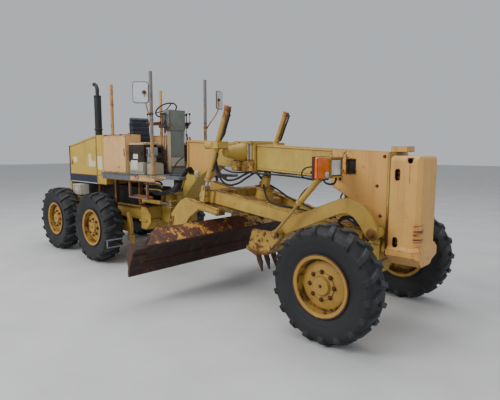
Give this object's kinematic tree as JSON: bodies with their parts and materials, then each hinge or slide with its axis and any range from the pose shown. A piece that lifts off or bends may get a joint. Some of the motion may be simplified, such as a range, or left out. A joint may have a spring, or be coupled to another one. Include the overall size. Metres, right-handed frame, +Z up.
{
  "type": "motor grader",
  "caption": "Articulated motor grader with a mid scarifier, open operator platform and raised blade, on six lugged tyres.",
  "frame": {"origin": "on the ground, in the middle of the outline", "axes": "+X is the way it drives, +Y its left, +Z up"},
  "size_m": [7.8848, 3.71, 3.4668],
  "materials": {
    "yellow_paint": "faded mustard paint",
    "cream_paint": "cream repaint",
    "dark_paint": "dark paint",
    "grey_paint": "grey paint",
    "worn_steel": "worn",
    "rod_steel": "dull chrome",
    "blade_steel": "rusted",
    "tyre_rubber": "dusty",
    "seat_vinyl": "ribbed vinyl",
    "lamp_lens": "moulded",
    "engine_iron": "oily",
    "black_plastic": "worn"
  },
  "bodies": {
    "rear": {"rear_frame": "yellow_paint", "rear_axle": "yellow_paint", "engine": "engine_iron", "hood": "yellow_paint", "stack": "dark_paint", "side_boxes": "cream_paint", "deck": "worn_steel", "cabinet": "dark_paint", "seat_base": "grey_paint", "seat": "seat_vinyl", "console": "grey_paint", "posts": "worn_steel", "mirrors": "grey_paint"},
    "front": {"front_frame": "yellow_paint", "saddle": "yellow_paint", "front_axle": "yellow_paint", "counterweight": "cream_paint", "lamps": "lamp_lens"},
    "door_R": {"engine_door_R": "yellow_paint"},
    "door_L": {"engine_door_L": "yellow_paint"},
    "steering_wheel": {"steering_wheel": "black_plastic"},
    "lift_barrels": {"lift_barrels": "yellow_paint"},
    "lift_rods": {"lift_rods": "rod_steel"},
    "drawbar": {"drawbar": "yellow_paint"},
    "circle": {"circle_ring": "yellow_paint"},
    "tilt": {"tilt_brackets": "yellow_paint"},
    "blade": {"moldboard": "blade_steel"},
    "scarifier": {"scarifier": "yellow_paint"},
    "scarifier_barrels": {"scarifier_barrels": "yellow_paint"},
    "scarifier_rods": {"scarifier_rods": "rod_steel"},
    "knuckle_R": {"knuckle_R": "yellow_paint"},
    "knuckle_L": {"knuckle_L": "yellow_paint"},
    "tie_rod": {"tie_rod": "worn_steel"},
    "artic_barrel_R": {"artic_barrel_R": "yellow_paint"},
    "artic_barrel_L": {"artic_barrel_L": "yellow_paint"},
    "artic_rod_R": {"artic_rod_R": "rod_steel"},
    "artic_rod_L": {"artic_rod_L": "rod_steel"},
    "wheel_FR": {"tyre_FR": "tyre_rubber", "rim_FR": "yellow_paint"},
    "wheel_FL": {"tyre_FL": "tyre_rubber", "rim_FL": "yellow_paint"},
    "wheel_MR": {"tyre_MR": "tyre_rubber", "rim_MR": "yellow_paint"},
    "wheel_ML": {"tyre_ML": "tyre_rubber", "rim_ML": "yellow_paint"},
    "wheel_RR": {"tyre_RR": "tyre_rubber", "rim_RR": "yellow_paint"},
    "wheel_RL": {"tyre_RL": "tyre_rubber", "rim_RL": "yellow_paint"}
  },
  "joints": [
    {"name": "articulation", "type": "hinge", "parent": "rear", "child": "front", "pos_m": [-0.402, 0, 1.05], "axis": [0, 0, 1], "range_deg": [-25, 25]},
    {"name": "artic_barrel_R_swing", "type": "hinge", "parent": "rear", "child": "artic_barrel_R", "pos_m": [-1.042, -0.43, 1.14], "axis": [0, 0, 1], "range_deg": [-6, 6]},
    {"name": "artic_rod_R_slide", "type": "slide", "parent": "artic_barrel_R", "child": "artic_rod_R", "axis": [1, 0, 0], "range_m": [-0.2, 0.2]},
    {"name": "artic_barrel_L_swing", "type": "hinge", "parent": "rear", "child": "artic_barrel_L", "pos_m": [-1.042, 0.43, 1.14], "axis": [0, 0, 1], "range_deg": [-6, 6]},
    {"name": "artic_rod_L_slide", "type": "slide", "parent": "artic_barrel_L", "child": "artic_rod_L", "axis": [1, 0, 0], "range_m": [-0.2, 0.2]},
    {"name": "steer_R", "type": "hinge", "parent": "front", "child": "knuckle_R", "pos_m": [3.248, -0.8, 0.64], "axis": [0, 0, 1], "range_deg": [-36, 36]},
    {"name": "steer_L", "type": "hinge", "parent": "front", "child": "knuckle_L", "pos_m": [3.248, 0.8, 0.64], "axis": [0, 0, 1], "range_deg": [-36, 36]},
    {"name": "tie_rod_turn", "type": "hinge", "parent": "knuckle_R", "child": "tie_rod", "pos_m": [3.028, -0.8, 0.794], "axis": [0, 0, 1], "range_deg": [-36, 36]},
    {"name": "wheel_FR_spin", "type": "hinge", "parent": "knuckle_R", "child": "wheel_FR", "pos_m": [3.248, -1.01, 0.64], "axis": [0, 1, 0], "continuous": true},
    {"name": "wheel_FL_spin", "type": "hinge", "parent": "knuckle_L", "child": "wheel_FL", "pos_m": [3.248, 1.01, 0.64], "axis": [0, 1, 0], "continuous": true},
    {"name": "wheel_MR_spin", "type": "hinge", "parent": "rear", "child": "wheel_MR", "pos_m": [-1.753, -0.97, 0.64], "axis": [0, 1, 0], "continuous": true},
    {"name": "wheel_ML_spin", "type": "hinge", "parent": "rear", "child": "wheel_ML", "pos_m": [-1.753, 0.97, 0.64], "axis": [0, 1, 0], "continuous": true},
    {"name": "wheel_RR_spin", "type": "hinge", "parent": "rear", "child": "wheel_RR", "pos_m": [-3.303, -0.97, 0.64], "axis": [0, 1, 0], "continuous": true},
    {"name": "wheel_RL_spin", "type": "hinge", "parent": "rear", "child": "wheel_RL", "pos_m": [-3.303, 0.97, 0.64], "axis": [0, 1, 0], "continuous": true},
    {"name": "blade_lift", "type": "hinge", "parent": "front", "child": "drawbar", "pos_m": [3.298, 0, 1.05], "axis": [0, 1, 0], "range_deg": [-12, 1.5]},
    {"name": "lift_barrels_swing", "type": "hinge", "parent": "front", "child": "lift_barrels", "pos_m": [1.168, 0, 2.13], "axis": [0, 1, 0], "range_deg": [-9, 2]},
    {"name": "lift_rods_slide", "type": "slide", "parent": "lift_barrels", "child": "lift_rods", "axis": [-0.383, 0, -0.9238], "range_m": [-0.065, 0.52]},
    {"name": "circle_turn", "type": "hinge", "parent": "drawbar", "child": "circle", "pos_m": [0.97504, 0, 1.23621], "axis": [0.1736, 0, 0.9848], "range_deg": [-35, 35]},
    {"name": "blade_tilt", "type": "hinge", "parent": "circle", "child": "tilt", "pos_m": [0.46706, 0, 0.88914], "axis": [0, 1, 0], "range_deg": [-15, 6]},
    {"name": "blade_side_shift", "type": "slide", "parent": "tilt", "child": "blade", "axis": [0, 1, 0], "range_m": [-0.3, 0.3]},
    {"name": "scarifier_lift", "type": "hinge", "parent": "front", "child": "scarifier", "pos_m": [3.458, 0, 1.12], "axis": [0, 1, 0], "range_deg": [-24, 0]},
    {"name": "scarifier_barrels_swing", "type": "hinge", "parent": "front", "child": "scarifier_barrels", "pos_m": [2.888, 0, 1.775], "axis": [0, 1, 0], "range_deg": [-21, 1]},
    {"name": "scarifier_rods_slide", "type": "slide", "parent": "scarifier_barrels", "child": "scarifier_rods", "axis": [-0.6702, 0, -0.7421], "range_m": [-0.01, 0.36]},
    {"name": "engine_door_R_open", "type": "hinge", "parent": "rear", "child": "door_R", "pos_m": [-2.642, -0.496, 1.9], "axis": [0, 0, 1], "range_deg": [0, 100]},
    {"name": "engine_door_L_open", "type": "hinge", "parent": "rear", "child": "door_L", "pos_m": [-2.642, 0.496, 1.9], "axis": [0, 0, -1], "range_deg": [0, 100]},
    {"name": "steering_wheel_turn", "type": "hinge", "parent": "rear", "child": "steering_wheel", "pos_m": [-0.902, 0, 2.79], "axis": [-0.5736, 0, 0.8192], "continuous": true}
  ],
  "couplings": [
    {"joint": "artic_barrel_R_swing", "follows": "articulation", "ratio": 0.19798},
    {"joint": "artic_rod_R_slide", "follows": "articulation", "m_per_rad": 0.4257},
    {"joint": "artic_barrel_L_swing", "follows": "articulation", "ratio": 0.19798},
    {"joint": "artic_rod_L_slide", "follows": "articulation", "m_per_rad": -0.4257},
    {"joint": "steer_L", "follows": "steer_R", "ratio": 1},
    {"joint": "tie_rod_turn", "follows": "steer_R", "ratio": -1},
    {"joint": "lift_barrels_swing", "follows": "blade_lift", "ratio": 0.65198},
    {"joint": "lift_rods_slide", "follows": "blade_lift", "m_per_rad": -2.367},
    {"joint": "scarifier_barrels_swing", "follows": "scarifier_lift", "ratio": 0.82479},
    {"joint": "scarifier_rods_slide", "follows": "scarifier_lift", "m_per_rad": -0.8375}
  ]
}
